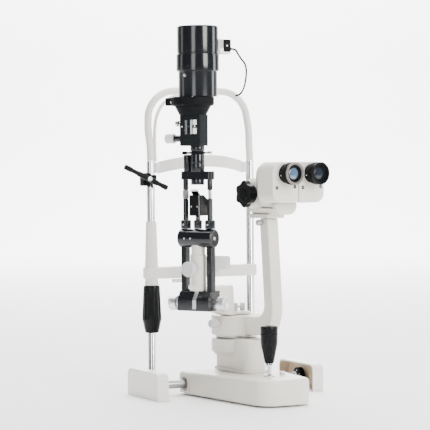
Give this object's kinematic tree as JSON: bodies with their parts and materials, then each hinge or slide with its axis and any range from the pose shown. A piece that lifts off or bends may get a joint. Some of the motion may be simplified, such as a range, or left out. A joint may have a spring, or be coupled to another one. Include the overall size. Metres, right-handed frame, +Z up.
{
  "type": "slit lamp",
  "caption": "Table slit lamp: stereo microscope and lamp tower on coaxial swing arms, on a joystick cross-slide base with toothed rails and a patient headrest.",
  "frame": {"origin": "middle of the instrument's box on the table top, between the two rails", "axes": "+Z up, +Y from the doctor's side to the patient's side, +X to the doctor's right"},
  "size_m": [0.3478, 0.379, 0.685],
  "materials": {
    "white_paint": "satin",
    "white_plastic": "satin",
    "cup_plastic": "satin",
    "rack_steel": "brushed",
    "chrome_plate": "polished",
    "black_matte": "matte",
    "black_gloss": "gloss",
    "black_enamel": "gloss black enamel",
    "grey_plastic": "satin",
    "lens_glass": "coated",
    "mirror_glass": "polished",
    "lead_rubber": "matte"
  },
  "bodies": {
    "table_frame": {"rail_cover_left": "white_paint", "rail_cover_right": "white_paint", "rack_left": "rack_steel", "rack_right": "rack_steel", "headrest_post_left": "chrome_plate", "headrest_post_right": "chrome_plate", "headrest_arch": "white_paint", "forehead_band": "white_plastic", "lamp_lead": "lead_rubber"},
    "chin_rest": {"chinrest_bar": "white_plastic", "chin_cup": "cup_plastic"},
    "chin_height_knob": {"chinrest_height_knob": "black_gloss"},
    "fixation_swing": {"fixation_clamp": "black_matte"},
    "fixation_target": {"fixation_arm": "black_gloss"},
    "axle": {"axle_shaft": "chrome_plate"},
    "wheel_left": {"wheel_left": "black_matte"},
    "wheel_right": {"wheel_right": "black_matte"},
    "cross_slide_base": {"base_housing": "white_paint", "glide_pad": "black_matte", "pedestal": "white_paint"},
    "joystick_stem": {"joystick_stem": "chrome_plate"},
    "joystick_grip": {"joystick_grip": "black_gloss"},
    "lift": {"lift_column": "rack_steel"},
    "microscope": {"microscope_arm": "white_paint", "microscope_platform": "white_paint", "microscope_body": "white_paint", "objective_barrel": "black_enamel", "objective_lens": "lens_glass"},
    "arm_lock": {"arm_lock_knob": "grey_plastic"},
    "platform_screw": {"platform_screw": "grey_plastic"},
    "magnification_knob": {"magnification_knob": "black_gloss"},
    "eyepiece_pod_left": {"prism_housing_left": "white_paint", "eyepiece_tube_left": "black_enamel", "eye_lens_left": "lens_glass"},
    "eyepiece_pod_right": {"prism_housing_right": "white_paint", "eyepiece_tube_right": "black_enamel", "eye_lens_right": "lens_glass"},
    "dioptre_ring_left": {"dioptre_ring_left": "black_matte"},
    "dioptre_ring_right": {"dioptre_ring_right": "black_matte"},
    "lamp_arm": {"illumination_arm": "white_paint", "tower_block": "black_enamel", "tower_column": "white_paint", "tilt_barrel": "black_enamel"},
    "hub_lock": {"hub_lock_knob": "grey_plastic"},
    "width_knob_left": {"slit_width_knob_left": "chrome_plate"},
    "width_knob_right": {"slit_width_knob_right": "chrome_plate"},
    "column_lock": {"column_lock_knob": "grey_plastic"},
    "lamp_tower": {"tower_rod_left": "chrome_plate", "tower_rod_right": "chrome_plate", "mirror_holder": "black_enamel", "mirror": "mirror_glass", "projection_tube": "black_enamel", "slit_housing": "black_matte", "lamp_housing": "black_enamel", "lamp_cap": "black_enamel", "lamp_plug": "black_matte"},
    "slit_rotation": {"slit_rotation_ring": "black_matte"},
    "aperture": {"aperture_disc": "black_enamel"},
    "slit_lever": {"slit_length_lever": "chrome_plate"},
    "slit_length": {"slit_length_knob": "chrome_plate"}
  },
  "joints": [
    {"name": "chin_knob_turn", "type": "hinge", "parent": "table_frame", "child": "chin_height_knob", "pos_m": [-0.1067, 0.1695, 0.15], "axis": [0, 0, 1], "range_deg": [0, 1080]},
    {"name": "chin_rest_height", "type": "slide", "parent": "table_frame", "child": "chin_rest", "axis": [0, 0, 1], "range_m": [0, 0.06]},
    {"name": "fixation_swing", "type": "hinge", "parent": "table_frame", "child": "fixation_swing", "pos_m": [-0.1067, 0.1695, 0.407], "axis": [0, 0, 1], "range_deg": [-30, 30]},
    {"name": "fixation_tilt", "type": "hinge", "parent": "fixation_swing", "child": "fixation_target", "pos_m": [-0.1217, 0.1465, 0.407], "axis": [0, 1, 0], "range_deg": [-20, 20]},
    {"name": "rail_travel", "type": "slide", "parent": "table_frame", "child": "axle", "axis": [0, 1, 0], "range_m": [-0.044, 0.044], "deforming": ["lamp_lead"]},
    {"name": "wheel_left_spin", "type": "hinge", "parent": "axle", "child": "wheel_left", "pos_m": [-0.158, 0.0661, 0.0215], "axis": [1, 0, 0], "range_deg": [-150, 150]},
    {"name": "wheel_right_spin", "type": "hinge", "parent": "axle", "child": "wheel_right", "pos_m": [0.158, 0.0661, 0.0215], "axis": [1, 0, 0], "range_deg": [-150, 150]},
    {"name": "cross_travel", "type": "slide", "parent": "axle", "child": "cross_slide_base", "axis": [1, 0, 0], "range_m": [-0.045, 0.045], "deforming": ["lamp_lead"]},
    {"name": "column_lift", "type": "slide", "parent": "cross_slide_base", "child": "lift", "axis": [0, 0, 1], "range_m": [0, 0.03], "deforming": ["lamp_lead"]},
    {"name": "joystick_tilt", "type": "hinge", "parent": "cross_slide_base", "child": "joystick_stem", "pos_m": [0, -0.1125, 0.046], "axis": [1, 0, 0], "range_deg": [-6, 6]},
    {"name": "joystick_turn", "type": "hinge", "parent": "joystick_stem", "child": "joystick_grip", "pos_m": [0, -0.1125, 0.1], "axis": [0, 0, 1], "range_deg": [0, 1080]},
    {"name": "microscope_swing", "type": "hinge", "parent": "lift", "child": "microscope", "pos_m": [0.008, 0.0365, 0.13], "axis": [0, 0, 1], "range_deg": [-15, 60]},
    {"name": "arm_lock_turn", "type": "hinge", "parent": "microscope", "child": "arm_lock", "pos_m": [-0.04935, 0.01623, 0.137], "axis": [-0.9848, -0.1736, 0], "range_deg": [-90, 90]},
    {"name": "platform_screw_turn", "type": "hinge", "parent": "microscope", "child": "platform_screw", "pos_m": [0.00584, -0.06644, 0.326], "axis": [-0.9848, -0.1736, 0], "range_deg": [-90, 90]},
    {"name": "magnification_turn", "type": "hinge", "parent": "microscope", "child": "magnification_knob", "pos_m": [-0.02388, -0.07066, 0.379], "axis": [-0.9848, -0.1736, 0], "range_deg": [-144, 144]},
    {"name": "pupil_distance_left", "type": "hinge", "parent": "microscope", "child": "eyepiece_pod_left", "pos_m": [0.01011, -0.14591, 0.371], "axis": [-0.1736, 0.9848, 0], "range_deg": [-12, 0]},
    {"name": "pupil_distance_right", "type": "hinge", "parent": "microscope", "child": "eyepiece_pod_right", "pos_m": [0.06841, -0.13563, 0.371], "axis": [-0.1736, 0.9848, 0], "range_deg": [0, 12]},
    {"name": "dioptre_left_turn", "type": "hinge", "parent": "eyepiece_pod_left", "child": "dioptre_ring_left", "pos_m": [0.01625, -0.17732, 0.416], "axis": [-0.1736, 0.9848, 0], "range_deg": [-60, 60]},
    {"name": "dioptre_right_turn", "type": "hinge", "parent": "eyepiece_pod_right", "child": "dioptre_ring_right", "pos_m": [0.07337, -0.16724, 0.416], "axis": [-0.1736, 0.9848, 0], "range_deg": [-60, 60]},
    {"name": "lamp_swing", "type": "hinge", "parent": "lift", "child": "lamp_arm", "pos_m": [0.008, 0.0365, 0.16], "axis": [0, 0, 1], "range_deg": [-40, 12], "deforming": ["lamp_lead"]},
    {"name": "hub_lock_turn", "type": "hinge", "parent": "lamp_arm", "child": "hub_lock", "pos_m": [0.01699, 0.03212, 0.165], "axis": [0.8988, -0.4384, 0], "range_deg": [-90, 90]},
    {"name": "width_left_turn", "type": "hinge", "parent": "lamp_arm", "child": "width_knob_left", "pos_m": [-0.13245, 0.00491, 0.18], "axis": [0.5446, -0.8387, 0], "range_deg": [0, 300]},
    {"name": "width_right_turn", "type": "hinge", "parent": "lamp_arm", "child": "width_knob_right", "pos_m": [-0.07799, -0.07896, 0.18], "axis": [0.5446, -0.8387, 0], "range_deg": [0, 300]},
    {"name": "column_lock_turn", "type": "hinge", "parent": "lamp_arm", "child": "column_lock", "pos_m": [-0.13038, -0.05337, 0.244], "axis": [-0.8387, -0.5446, 0], "range_deg": [-90, 90]},
    {"name": "tower_tilt", "type": "hinge", "parent": "lamp_arm", "child": "lamp_tower", "pos_m": [-0.10522, -0.03703, 0.299], "axis": [0.5446, -0.8387, 0], "range_deg": [0, 15], "deforming": ["lamp_lead"]},
    {"name": "slit_rotation", "type": "hinge", "parent": "lamp_tower", "child": "slit_rotation", "pos_m": [-0.10522, -0.03703, 0.4547], "axis": [0, 0, 1], "range_deg": [-60, 60]},
    {"name": "aperture_turn", "type": "hinge", "parent": "lamp_tower", "child": "aperture", "pos_m": [-0.11524, -0.03996, 0.548], "axis": [0, 0, 1], "range_deg": [-30, 60]},
    {"name": "slit_lever_turn", "type": "hinge", "parent": "lamp_tower", "child": "slit_lever", "pos_m": [-0.12995, -0.01731, 0.508], "axis": [-0.5446, 0.8387, 0], "range_deg": [-45, 45]},
    {"name": "slit_length_turn", "type": "hinge", "parent": "lamp_tower", "child": "slit_length", "pos_m": [-0.14084, -0.00054, 0.481], "axis": [-0.5446, 0.8387, 0], "range_deg": [0, 300]}
  ],
  "couplings": [
    {"joint": "chin_knob_turn", "follows": "chin_rest_height", "rad_per_m": 314.16},
    {"joint": "joystick_turn", "follows": "column_lift", "rad_per_m": 628.32},
    {"joint": "wheel_left_spin", "follows": "rail_travel", "rad_per_m": -58},
    {"joint": "wheel_right_spin", "follows": "rail_travel", "rad_per_m": -58},
    {"joint": "pupil_distance_left", "follows": "pupil_distance_right", "ratio": -1},
    {"joint": "width_right_turn", "follows": "width_left_turn", "ratio": 1}
  ]
}
